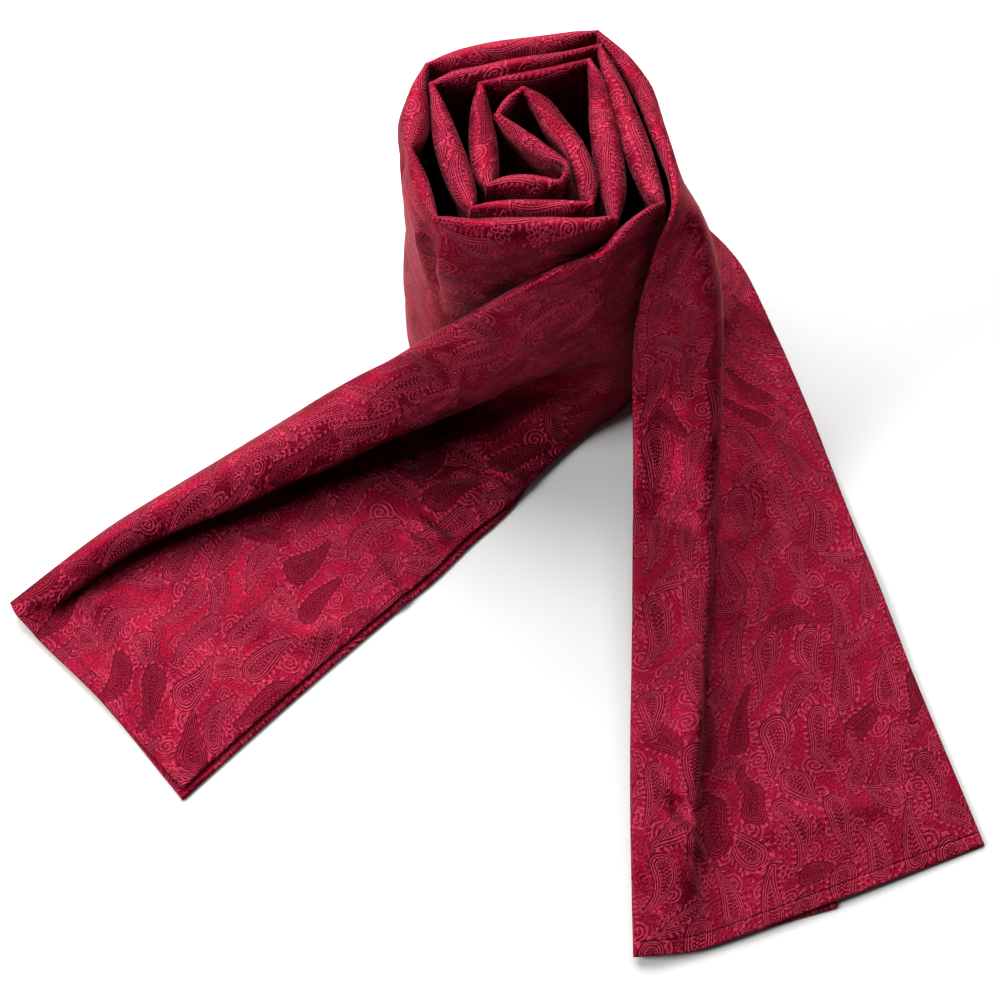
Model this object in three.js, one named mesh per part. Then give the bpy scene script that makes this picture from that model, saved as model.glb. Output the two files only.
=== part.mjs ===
// Silk cravat: a scarf folded lengthwise to a band, wound double from its middle into a standing coil,
// with both ends left out in front as tails. Millimetres, Z up. The front of the part faces -Y.
import * as THREE from "three";

// The scarf is cut 1600 x 500 and folded in four, to a band of about 150 at the right end, 138 in the coil
// and 125 at the left end. The coil's walls hold all four layers, each tail has two walls of two layers.
const coilHalf = 1.2;
const layerHalf = 0.65;
const seamGap = 0.3;
const layerStep = 2 * layerHalf + seamGap;
const coilFall = 17;
const tailFall = 13;
const pinch = 1.3;

// Each winding of the coil, in order along the scarf from the right tail to the left one. A row is a place
// on its upper fold: x, y, the fold's height, and how far the puffed fold swells to each side.
const windings = [
  { name: "wind_outer_back", rows: [[40.2, 143, 140, pinch], [20.7, 139.2, 140, 3.7], [0, 135.6, 139.5, 4.2],
    [-16.5, 131.6, 139, 3.9], [-29.8, 127, 138.5, pinch]] },
  { name: "wind_outer_left_back", rows: [[-29.8, 127, 138.5, pinch], [-32.5, 120, 138, 2],
    [-33.6, 112, 138, 3.2], [-34, 103, 138, 5], [-34.8, 93, 137.5, 4.2], [-36.6, 85, 137, 1.4]] },
  { name: "wind_outer_left_front", rows: [[-36.6, 85, 137, 1.4], [-32.8, 73, 136.5, 2.6],
    [-28.7, 61, 136, 2.2], [-25.5, 51, 135.5, pinch]] },
  { name: "wind_outer_front", rows: [[-25.5, 51, 135.5, pinch], [-16, 51, 135, 2.2], [0, 51.3, 135, 2.4],
    [23, 50.6, 135, 2.4], [36, 50.2, 135, 2.2], [45.8, 51.8, 135, pinch]] },
  { name: "wind_middle_right", rows: [[45.8, 51.8, 135, pinch], [45.3, 66, 136, 4.4], [43.9, 84, 136.5, 5.1],
    [42, 103, 137, 4.6], [39.6, 121, 137.5, 2.6], [36.8, 130.4, 137, pinch]] },
  { name: "wind_middle_back", rows: [[36.8, 130.4, 137, pinch], [28.8, 127, 138, 2.1], [18.5, 123.8, 138, 2.4],
    [8.2, 121.3, 138, 2.4], [0, 119.6, 137.5, 2.2], [-7.9, 118.2, 137, pinch]] },
  { name: "wind_middle_left", rows: [[-7.9, 118.2, 137, pinch], [-7.9, 106, 137, 3.4], [-6.9, 92, 136.5, 4.8],
    [-5.6, 76, 136, 4.4], [-4.4, 67, 136, pinch]] },
  { name: "wind_inner_front", rows: [[-4.4, 67, 136, pinch], [3, 69.5, 136, 3.2], [14, 69.8, 135.5, 3.8],
    [21, 69, 135.5, 2], [24.3, 68.8, 136, pinch]] },
  { name: "wind_inner_hook", rows: [[24.3, 68.8, 136, pinch], [26.9, 73.5, 136, 1.6], [26.2, 78.3, 136, pinch]] },
  { name: "wind_inner_diagonal", rows: [[26.2, 78.3, 136, pinch], [20, 83.2, 136, 2.6], [13.5, 88.5, 136.5, 3],
    [5.3, 95.5, 137, 2.6], [-1.2, 102, 137, pinch]] },
  { name: "wind_heart", rows: [[-1.2, 102, 137, pinch], [3.5, 110, 137, 1.9], [9.4, 115, 138, pinch]] },
  { name: "wind_second_inner_right", rows: [[9.4, 115, 138, pinch], [17, 109, 138, 3], [21.5, 101, 137.5, 4],
    [28, 91, 137, 4], [32.5, 81, 136.5, 3.6], [35, 71, 136, 3.7], [36.2, 58.5, 135, pinch]] },
  { name: "wind_second_front", rows: [[36.2, 58.5, 135, pinch], [24, 57.8, 135, 2.4], [11.5, 57.4, 135, 2.6],
    [0, 57, 135, 2.4], [-11, 56, 135.5, pinch]] },
  { name: "wind_second_left", rows: [[-11, 56, 135.5, pinch], [-14, 66, 136, 4], [-18.3, 80, 137, 4.8],
    [-22.3, 94, 137.5, 4.2], [-25, 106, 138, 2.6], [-28, 117.2, 138, pinch]] },
  { name: "wind_second_back", rows: [[-28, 117.2, 138, pinch], [-17.6, 121.8, 138.5, 2.6],
    [-7.8, 124.2, 138.5, 2.7], [5.3, 127.2, 139, 2.6], [23.4, 131, 139, 2.2], [41, 136.4, 139, pinch]] },
  { name: "wind_second_right", rows: [[41, 136.4, 139, pinch], [45, 125, 139, 2.5], [49.2, 112.4, 138.5, 3.6],
    [53.4, 96, 138, 4.3], [57.3, 80, 138, 4.4], [61, 66, 138, 3.3], [64.5, 56.6, 138, pinch]] },
];

// Each row is a section of the right strand from the coil's back corner to its hem: six places across the
// band, and how far the fold swells. The wall stands at the coil, leans out over the ridge and ends flat.
const rightRows = [
  { fold: [40.2, 143, 140], hump: [40.3, 143, 112], ridge: [40.5, 143, 75], foot: [40.7, 143.2, 35],
    flat: [40.8, 143.4, 15], edge: [41, 143.5, 0], swell: pinch },
  { fold: [50.2, 131, 139], hump: [50.6, 132.5, 112], ridge: [51.2, 136, 75], foot: [52.3, 143, 35],
    flat: [53, 147, 14], edge: [53.5, 150, 0], swell: 3.5 },
  { fold: [58.3, 115.5, 138.5], hump: [60, 119.5, 112], ridge: [62, 128, 75], foot: [64.5, 142, 36],
    flat: [65.5, 149.5, 13], edge: [66, 156, 0], swell: 4.2 },
  { fold: [62.5, 98, 138], hump: [66, 102.5, 115], ridge: [70.5, 112, 82], foot: [76, 134, 36],
    flat: [78, 146.5, 12], edge: [79, 158, 0], swell: 3.6 },
  { fold: [66, 82.8, 138], hump: [70.5, 87, 120], ridge: [76, 96, 94], foot: [84, 122, 42],
    flat: [87, 139, 12], edge: [89, 154, 0], swell: 3.2 },
  { fold: [68.6, 67.5, 138], hump: [74, 71.5, 127], ridge: [79.5, 79, 107], foot: [89, 108, 48],
    flat: [93, 128, 12], edge: [96, 145, 0], swell: 2.4 },
  { fold: [68.2, 52.5, 137.5], hump: [74.5, 57.5, 131], ridge: [79.8, 62.5, 121], foot: [92.5, 95, 50],
    flat: [97.5, 117.5, 10], edge: [102, 134.7, 0], swell: 1.5 },
  { fold: [62.8, 45, 125.5], hump: [71, 49, 121], ridge: [82.5, 57.5, 110], foot: [95.5, 85, 44],
    flat: [101.5, 107, 8], edge: [107.7, 124, 0], swell: 1.5 },
  { fold: [58.7, 40.5, 104], hump: [69.5, 41.5, 106], ridge: [86.2, 53.2, 93], foot: [98, 78, 34],
    flat: [106, 94, 5], edge: [116.5, 108, 0.3], swell: 1.7 },
  { fold: [56.4, 36.2, 82], hump: [70, 34, 87], ridge: [89.5, 48.5, 77], foot: [99.5, 69, 24],
    flat: [110.5, 79, 3.2], edge: [125, 91, 0.6], swell: 1.8 },
  { fold: [56.4, 28.4, 52], hump: [71.5, 23.5, 63], ridge: [92, 36, 52], foot: [100, 54, 13],
    flat: [115.5, 60, 2.5], edge: [134.7, 67, 0.6], swell: 1.9 },
  { fold: [57, 9, 27], hump: [72.5, 5.5, 38], ridge: [91, 16, 30], foot: [98.5, 28, 6],
    flat: [119, 35, 2.2], edge: [143, 41, 0.6], swell: 2 },
  { fold: [56.7, -13, 15], hump: [72.5, -14, 26], ridge: [87.5, -8, 17], foot: [95, -1, 3.5],
    flat: [122, 10, 2.2], edge: [149, 19, 0.6], swell: 2 },
  { fold: [55.8, -43, 10], hump: [71, -43, 20], ridge: [84, -38, 12], foot: [92.5, -33, 2.8],
    flat: [125, -19, 2.2], edge: [155.7, -6.5, 0.6], swell: 1.9 },
  { fold: [54.5, -82, 7], hump: [69, -81.5, 16], ridge: [81.5, -77, 9], foot: [90, -73, 2.6],
    flat: [128, -55, 2.2], edge: [164.5, -43, 0.6], swell: 1.8 },
  { fold: [52.8, -125, 5.5], hump: [65, -124, 13], ridge: [77, -119.5, 7], foot: [85, -116.5, 2.4],
    flat: [133, -98, 2.2], edge: [173.8, -82, 0.6], swell: 1.7 },
  { fold: [52.1, -165, 4], hump: [62, -164, 8.5], ridge: [71, -160, 4.5], foot: [79, -156, 2.3],
    flat: [132, -137, 2.2], edge: [184, -119.5, 0.6], swell: 1.6 },
  { fold: [51.9, -207.5, 2.6], hump: [60, -207.3, 3.3], ridge: [68, -206.3, 2.7], foot: [78.2, -204.3, 2.2],
    flat: [129.6, -185.4, 2.2], edge: [194.2, -160.1, 0.6], swell: 1.5 },
];

// The same for the left tail, from the coil's front corner to its hem.
const leftRows = [
  { fold: [64.5, 56.6, 138], hump: [64.5, 56.4, 112], lip: [64.5, 56.4, 70], valley: [64.5, 56.4, 40],
    flat: [64.5, 56.5, 18], edge: [64.5, 56.6, 0], swell: pinch },
  { fold: [58.6, 53.4, 137.5], hump: [58.8, 51.8, 114], lip: [59.5, 51.6, 64], valley: [60, 52.8, 40],
    flat: [60.4, 53.2, 18], edge: [60.6, 53.8, 0], swell: 1.8 },
  { fold: [48.5, 46.8, 133.5], hump: [49.5, 44.3, 112], lip: [51.5, 44.3, 62], valley: [53, 46.6, 40],
    flat: [54, 47, 18], edge: [55, 48.5, 0], swell: 2.2 },
  { fold: [40, 42.9, 124], hump: [41.3, 40, 104], lip: [44.5, 40.3, 60], valley: [46.5, 43.4, 40],
    flat: [48.5, 42.6, 18], edge: [50.5, 43.5, 0], swell: 2.4 },
  { fold: [24.1, 41, 115.5], hump: [27, 37.2, 96], lip: [33, 37.8, 57], valley: [36, 42.3, 38],
    flat: [40.5, 37.5, 14], edge: [44, 38.5, 0.3], swell: 2.6 },
  { fold: [4.9, 39.2, 102.5], hump: [9.5, 34.2, 86], lip: [18, 35.5, 52], valley: [22.5, 41.5, 32],
    flat: [28, 30.5, 9], edge: [33, 28, 1.2], swell: 2.8 },
  { fold: [-12, 39.3, 86], hump: [-6, 32.5, 74], lip: [3, 33.8, 44], valley: [8, 41, 24],
    flat: [16, 22.5, 5], edge: [24, 19, 2], swell: 2.9 },
  { fold: [-28, 39.8, 70], hump: [-20, 31.6, 63], lip: [-10, 31.3, 34], valley: [-4, 40, 13],
    flat: [6, 11.5, 3], edge: [14, 8, 2.2], swell: 3 },
  { fold: [-46, 43.8, 47], hump: [-36, 36, 45], lip: [-25, 30.5, 22], valley: [-19, 33.5, 7],
    flat: [-8, 1, 2.4], edge: [3, -4.5, 2.2], swell: 3 },
  { fold: [-64.6, 42.6, 32], hump: [-56, 36, 34], lip: [-45, 25, 16], valley: [-40, 23.5, 4.5],
    flat: [-26, -8, 2.2], edge: [-11, -20.5, 2.2], swell: 2.8 },
  { fold: [-86.7, 38.5, 21], hump: [-79, 32.5, 24], lip: [-69, 17.5, 13], valley: [-63, 12.5, 3.4],
    flat: [-44, -17, 2.2], edge: [-27, -39, 2.2], swell: 2.4 },
  { fold: [-110, 26, 16], hump: [-103, 21, 19], lip: [-93, 5.5, 10], valley: [-88, 1.5, 3],
    flat: [-70, -26, 2.2], edge: [-45, -56, 2.2], swell: 2.2 },
  { fold: [-135, 10, 13], hump: [-128.5, 5.5, 15.5], lip: [-120, -8, 8.5], valley: [-114, -12.5, 2.8],
    flat: [-94, -42, 2.2], edge: [-62.8, -73.1, 2.2], swell: 2 },
  { fold: [-165, -11, 10], hump: [-159, -14.5, 12], lip: [-151.5, -25, 6.5], valley: [-146, -30, 2.6],
    flat: [-118, -66, 2.2], edge: [-86, -96, 2.2], swell: 1.8 },
  { fold: [-190.6, -36.4, 7.5], hump: [-185.5, -39.5, 9], lip: [-180, -48, 4.8], valley: [-175, -55, 2.4],
    flat: [-147, -85, 2.2], edge: [-109, -118, 2.2], swell: 1.6 },
  { fold: [-206.7, -52.5, 3.5], hump: [-203.5, -58.5, 4.8], lip: [-198, -64, 3.2], valley: [-193, -69.5, 2.3],
    flat: [-168, -94, 2.2], edge: [-128.5, -136.3, 2.2], swell: 1.5 },
];

const rightLines = ["fold", "hump", "ridge", "foot", "flat", "edge"];
const leftLines = ["fold", "hump", "lip", "valley", "flat", "edge"];

// Where the right strand leaves the coil and becomes the tail, as a row number, and the seam there.
const rightStart = 5.6;
const seamRows = 0.035;

// How far each tail's lower layer stands out past its upper one.
const leftStep = 3.2;
const leftHemStep = 3.4;
const rightHemStep = 2.4;
const stepRows = 4;

const silk = new THREE.MeshStandardMaterial({ color: "#8f1a33", roughness: 0.45 });
const group = new THREE.Group();

function addMesh(name, geometry) {
  const mesh = new THREE.Mesh(geometry, silk);
  mesh.name = name;
  group.add(mesh);
}

const toVector = (p) => new THREE.Vector3(p[0], p[1], p[2]);

// A value from a list that has one for each row, at a place between rows.
function between(values, row) {
  const low = Math.min(Math.floor(row), values.length - 2);
  return THREE.MathUtils.lerp(values[low], values[low + 1], row - low);
}

// Half the thickness this far along the cloth from its fold: round at the fold, then falling to the wall.
function halfAt(distance, swell, fall, wall) {
  if (distance < swell) return swell * Math.sqrt(1 - (1 - distance / swell) ** 2);
  const share = Math.min((distance - swell) / fall, 1);
  return wall + (swell - wall) * 0.5 * (1 + Math.cos(Math.PI * share));
}

// Closes a grid of points with normals and half thicknesses into one solid. Rows run along the cloth and
// columns across it. A half thickness of 0 in the first column makes it a rounded fold.
function clothSolid(rows) {
  const columns = rows[0].length;
  const folded = rows[0][0].half === 0;
  const positions = [];
  const place = (cell, side) => {
    const p = cell.point.clone().addScaledVector(cell.normal, side * cell.half);
    positions.push(p.x, p.y, Math.max(p.z, 0));
    return positions.length / 3 - 1;
  };
  const front = rows.map((row) => row.map((cell) => place(cell, 1)));
  const back = rows.map((row, i) => row.map((cell, j) => (folded && j === 0 ? front[i][0] : place(cell, -1))));
  const index = [];
  const apart = (a, b) => Math.hypot(...[0, 1, 2].map((k) => positions[3 * a + k] - positions[3 * b + k]));
  const triangle = (a, b, c) => {
    if (a !== b && b !== c && a !== c) index.push(a, b, c);
  };
  const quad = (a, b, c, d) => {
    const shortWay = a === b || c === d || apart(a, c) <= apart(b, d);
    triangle(a, b, shortWay ? c : d);
    triangle(shortWay ? a : b, c, d);
  };
  for (let i = 0; i + 1 < rows.length; i += 1) {
    for (let j = 0; j + 1 < columns; j += 1) {
      quad(front[i][j], front[i + 1][j], front[i + 1][j + 1], front[i][j + 1]);
      quad(back[i][j], back[i][j + 1], back[i + 1][j + 1], back[i + 1][j]);
    }
    const last = columns - 1;
    quad(front[i][last], front[i + 1][last], back[i + 1][last], back[i][last]);
    if (!folded) quad(front[i][0], back[i][0], back[i + 1][0], front[i + 1][0]);
  }
  const end = rows.length - 1;
  for (let j = 0; j + 1 < columns; j += 1) {
    quad(front[0][j], front[0][j + 1], back[0][j + 1], back[0][j]);
    quad(front[end][j], back[end][j], back[end][j + 1], front[end][j + 1]);
  }
  const geometry = new THREE.BufferGeometry();
  geometry.setAttribute("position", new THREE.Float32BufferAttribute(positions, 3));
  geometry.setIndex(index);
  return geometry;
}

// The direction of a winding's first or last stretch, seen from above.
function heading(rows, atEnd) {
  const [a, b] = atEnd ? rows.slice(-2) : rows.slice(0, 2);
  return new THREE.Vector3(b[0] - a[0], b[1] - a[1], 0).normalize();
}

const sideways = (along) => new THREE.Vector3(-along.y, along.x, 0);

// The shared corner of two stretches: the direction of the mitre, as long as it takes to keep the wall's
// thickness, and how far each stretch is drawn back from it to leave half the gap.
function mitre(before, after) {
  const across = sideways(before).add(sideways(after));
  across.divideScalar(1 + before.dot(after));
  const back = seamGap / 2 / before.clone().add(after).normalize().dot(before);
  return { across, back };
}

// One winding: rows along it, and columns down from the fold to the floor.
function windingGrid(rows, startCorner, endCorner) {
  const curve = new THREE.CatmullRomCurve3(rows.map(toVector), false, "centripetal");
  const swells = rows.map((row) => row[3]);
  const steps = 2 * (rows.length - 1);
  const grid = [];
  for (let i = 0; i <= steps; i += 1) {
    const share = i / steps;
    const top = curve.getPoint(share);
    const along = curve.getTangent(share).setZ(0).normalize();
    const swell = between(swells, share * (rows.length - 1));
    let across = sideways(along);
    if (i === 0) {
      across = startCorner.across;
      top.addScaledVector(heading(rows, false), startCorner.back);
    }
    if (i === steps) {
      across = endCorner.across;
      top.addScaledVector(heading(rows, true), -endCorner.back);
    }
    const depths = [0, 0.25 * swell, swell, swell + 5, swell + 10, swell + coilFall, 80, top.z];
    grid.push(depths.map((depth) => ({
      point: new THREE.Vector3(top.x, top.y, top.z - depth),
      normal: across,
      half: halfAt(depth, swell, coilFall, coilHalf),
    })));
  }
  return grid;
}

// Places across the band, as shares of its width, close together at the fold. The lower layers start at the
// share named start, and the right one stops at the share named part.
const acrossShares = [0, 0.003, 0.012, 0.035, 0.065, 0.1, 0.15, 0.21, 0.28, 0.35, 0.42, 0.5, 0.57, 0.68, 0.84, 1];
const underColumns = { start: acrossShares.indexOf(0.15), part: acrossShares.indexOf(0.57) };

// One section of a tail at a place between rows. Each line of the drape is a smooth curve through its
// places, and the section is a smooth curve across the lines.
function tailSection(curves, share) {
  const places = curves.map((curve) => curve.getPoint(THREE.MathUtils.clamp(share, 0, 1)));
  const section = new THREE.CatmullRomCurve3(places, false, "centripetal");
  return { length: section.getLength(), points: acrossShares.map((u) => section.getPointAt(u)) };
}

// The middle of a tail's upper wall between two row numbers, with its normals.
function tailGrid(table, lines, from, to, steps) {
  const curves = lines.map((line) => new THREE.CatmullRomCurve3(table.map((row) => toVector(row[line])),
    false, "centripetal"));
  const last = table.length - 1;
  const nudge = 0.2 / last;
  const grid = [];
  for (let i = 0; i <= steps; i += 1) {
    const row = THREE.MathUtils.lerp(from, to, i / steps);
    const here = tailSection(curves, row / last);
    const before = tailSection(curves, row / last - nudge).points;
    const after = tailSection(curves, row / last + nudge).points;
    const cells = here.points.map((point, j) => {
      const next = here.points[Math.min(j + 1, here.points.length - 1)];
      const across = next.clone().sub(here.points[Math.max(j - 1, 0)]);
      return { point, normal: after[j].clone().sub(before[j]).cross(across).normalize() };
    });
    grid.push({ row, length: here.length, cells });
  }
  return grid;
}

// The upper wall of a tail. It is as thick as the coil's walls where it leaves them, and thins to one layer.
function tailTop(grid, table, wallAt, corner) {
  const swells = table.map((row) => row.swell);
  return grid.map((row, i) => row.cells.map((cell, j) => {
    const half = halfAt(acrossShares[j] * row.length, between(swells, row.row), tailFall, wallAt(row.row));
    if (!corner || i > 0) return { ...cell, half };
    return { point: cell.point.clone().addScaledVector(corner.along, corner.back), normal: corner.across, half };
  }));
}

// The lower layer of a tail: the upper wall's points moved in by a layer, its edge and its hem moved out
// past the upper ones by their steps. The hem's step grows from the fold to the edge.
function tailUnder(grid, firstRow, lastColumn, edgeStep, hemStep) {
  const rows = grid.slice(firstRow).map((row) => row.cells.slice(underColumns.start, lastColumn + 1)
    .map((cell) => ({ point: cell.point.clone().addScaledVector(cell.normal, -layerStep), normal: cell.normal,
      half: layerHalf })));
  rows.forEach((cells, i) => {
    const [inner, edge] = cells.slice(-2);
    const step = edgeStep * Math.min(i / stepRows, 1);
    edge.point.addScaledVector(edge.point.clone().sub(inner.point).setZ(0).normalize(), step);
  });
  const [before, hem] = rows.slice(-2);
  hem.forEach((cell, j) => {
    const outward = cell.point.clone().sub(before[j].point).setZ(0).normalize();
    cell.point.addScaledVector(outward, hemStep * (1.3 * (j / (hem.length - 1)) ** 2 - 0.3));
  });
  return rows;
}

// The corners between the windings, then the windings themselves.
const rightFold = rightRows.slice(0, 2).map((row) => row.fold);
const leftFold = leftRows.slice(0, 2).map((row) => row.fold);
const rightHeading = heading(rightFold, false);
const leftHeading = heading(leftFold, false);
const corners = [mitre(rightHeading.clone().negate(), heading(windings[0].rows, false))];
for (let k = 1; k < windings.length; k += 1) {
  corners.push(mitre(heading(windings[k - 1].rows, true), heading(windings[k].rows, false)));
}
corners.push(mitre(heading(windings.at(-1).rows, true), leftHeading));

windings.forEach((winding, k) => {
  addMesh(winding.name, clothSolid(windingGrid(winding.rows, corners[k], corners[k + 1])));
});

// The right strand: its last winding, which already leans out, and the tail's two layers.
const rightCorner = { across: corners[0].across.clone().negate(), along: rightHeading, back: corners[0].back };
const rightWall = (row) => THREE.MathUtils.lerp(coilHalf, layerHalf, THREE.MathUtils.clamp((row - 6) / 3, 0, 1));
const rightLast = rightRows.length - 1;
const outerRight = tailGrid(rightRows, rightLines, 0, rightStart - seamRows, 11);
const rightTail = tailGrid(rightRows, rightLines, rightStart, rightLast, 26);
addMesh("wind_outer_right", clothSolid(tailTop(outerRight, rightRows, rightWall, rightCorner)));
addMesh("tail_right_top", clothSolid(tailTop(rightTail, rightRows, rightWall, null)));
addMesh("tail_right_under", clothSolid(tailUnder(rightTail, 10, underColumns.part, 0, rightHemStep)));

// The left tail starts at the corner of the last winding of the left strand.
const leftCorner = { across: corners.at(-1).across, along: leftHeading, back: corners.at(-1).back };
const leftWall = (row) => THREE.MathUtils.lerp(coilHalf, layerHalf, THREE.MathUtils.clamp((row - 2) / 3, 0, 1));
const leftTail = tailGrid(leftRows, leftLines, 0, leftRows.length - 1, 32);
addMesh("tail_left_top", clothSolid(tailTop(leftTail, leftRows, leftWall, leftCorner)));
addMesh("tail_left_under", clothSolid(tailUnder(leftTail, 15, acrossShares.length - 1, leftStep, leftHemStep)));

// The part's origin is the middle of its bounding box's underside.
const box = new THREE.Box3().setFromObject(group);
const middle = box.getCenter(new THREE.Vector3());
group.children.forEach((mesh) => mesh.geometry.translate(-middle.x, -middle.y, -box.min.z));
console.log("moved by", (-middle.x).toFixed(2), (-middle.y).toFixed(2), (-box.min.z).toFixed(2));

export default group;
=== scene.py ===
# Silk cravat: a folded paisley satin band, wound double into a standing coil, with two tails left out in front.
import bpy
import bmesh
import math
import numpy as np
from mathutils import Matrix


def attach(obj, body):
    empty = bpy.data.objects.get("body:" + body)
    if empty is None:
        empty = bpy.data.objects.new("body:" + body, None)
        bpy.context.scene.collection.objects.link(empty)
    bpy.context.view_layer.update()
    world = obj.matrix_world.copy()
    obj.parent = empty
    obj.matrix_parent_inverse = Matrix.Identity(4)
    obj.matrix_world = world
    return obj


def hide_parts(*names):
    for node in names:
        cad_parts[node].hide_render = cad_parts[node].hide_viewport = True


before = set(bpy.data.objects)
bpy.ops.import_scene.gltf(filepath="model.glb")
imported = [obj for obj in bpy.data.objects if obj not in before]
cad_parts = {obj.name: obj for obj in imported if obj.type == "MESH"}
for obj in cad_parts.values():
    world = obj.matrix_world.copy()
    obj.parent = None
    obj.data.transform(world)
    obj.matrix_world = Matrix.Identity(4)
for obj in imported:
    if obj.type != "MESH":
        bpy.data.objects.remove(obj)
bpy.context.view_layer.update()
print("frame loaded")

# the tables below are millimetres in the drape's own frame, this is how far it lies from the part's frame
toPart = np.array([6.32, 24.35, 0.0])
mm = 0.001
rightLength = 441.0    # along the fold, from the right hem to the coil
coilLength = 820.0
leftLength = 350.0
meshing = {"weld": 2e-6, "sliver": 1e-7, "sharpAngle": 50, "foldSteps": 9, "rimSteps": 5}


def smoothCurve(places, shares):
    # a cubic between each pair of places, tangents from the chords to the neighbours over their square roots
    ends = [2 * places[..., :1, :] - places[..., 1:2, :], places, 2 * places[..., -1:, :] - places[..., -2:-1, :]]
    wide = np.concatenate(ends, axis=-2)
    count = places.shape[-2]
    low = np.clip(np.floor(shares * (count - 1)).astype(int), 0, count - 2)
    t = (shares * (count - 1) - low)[:, None]
    a, b, c, d = (wide[..., low + k, :] for k in range(4))

    def root(p, q):
        return np.maximum(np.sqrt(np.linalg.norm(q - p, axis=-1, keepdims=True)), 1e-6)

    ab, bc, cd = root(a, b), root(b, c), root(c, d)
    leave = ((b - a) / ab - (c - a) / (ab + bc) + (c - b) / bc) * bc
    arrive = ((c - b) / bc - (d - b) / (bc + cd) + (d - c) / cd) * bc
    return b + t * leave + t ** 2 * (3 * (c - b) - 2 * leave - arrive) + t ** 3 * (2 * (b - c) + leave + arrive)


def soften(grid, steps):
    # a weighted mean with the rows before and after, with the first and last row held
    for _ in range(steps):
        middle = 0.25 * grid[:-2] + 0.5 * grid[1:-1] + 0.25 * grid[2:]
        grid = np.concatenate([grid[:1], middle, grid[-1:]])
    return grid


def unit(vectors):
    return vectors / np.maximum(np.linalg.norm(vectors, axis=-1, keepdims=True), 1e-9)


def puffedHalf(distance, swell, fall, wall):
    # half the thickness: a quarter round at the fold, then a cosine that falls from the swell to the flat wall
    rounded = swell * np.sqrt(np.clip(1 - (1 - distance / swell) ** 2, 0, 1))
    share = np.clip((distance - swell) / fall, 0, 1)
    return np.where(distance < swell, rounded, wall + (swell - wall) * 0.5 * (1 + np.cos(np.pi * share)))


def foldColumns(swell, length, spacing, rim):
    # distances from the fold: a quarter turn of steps inside the swell, even steps, then the rounded rim
    turn = 1 - np.cos(np.linspace(0, np.pi / 2, meshing["foldSteps"]))[:-1]
    inner = swell[:, None] * turn
    steps = int(np.mean(length) / spacing)
    even = swell[:, None] + (length - swell - rim)[:, None] * np.linspace(0, 1, steps + 1)
    if rim == 0:
        return np.concatenate([inner, even], axis=1)
    edge = (length - rim)[:, None] + rim * np.sin(np.linspace(0, np.pi / 2, meshing["rimSteps"]))[1:]
    return np.concatenate([inner, even, edge], axis=1)


def rimRound(distance, rim):
    # the thickness falls to nothing at an edge, as a quarter circle
    return np.sqrt(np.clip(1 - (1 - np.clip(distance / rim, 0, 1)) ** 2, 0, 1))


def plainCreases(x, y, creases):
    # a trough (or a ridge) along a line in the plan: depth times a bell of the distance from it, with soft ends
    height = np.zeros_like(x)
    for x0, y0, x1, y1, width, depth in creases:
        length = math.hypot(x1 - x0, y1 - y0)
        along = ((x - x0) * (x1 - x0) + (y - y0) * (y1 - y0)) / length
        off = ((x - x0) * (y1 - y0) - (y - y0) * (x1 - x0)) / length / width
        beyond = np.abs(along - length / 2) / (length / 2)
        height += depth * np.exp(-off ** 2) * (1 - 0.35 * off ** 2) * np.exp(-beyond ** 4)
    return height


def waves(u, v, size, seed, count=14, shortest=9, longest=45):
    # low ripples: a sum of sine waves in the cloth's own plane, each with its own direction and length
    rng = np.random.default_rng(seed)
    angles = rng.uniform(0, np.pi, count)
    lengths = rng.uniform(shortest, longest, count)
    phases = rng.uniform(0, 2 * np.pi, count)
    total = np.zeros_like(u)
    for angle, length, phase in zip(angles, lengths, phases):
        total += length / longest * np.sin(2 * np.pi * (u * math.cos(angle) + v * math.sin(angle)) / length + phase)
    return size * total / math.sqrt(count)


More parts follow.
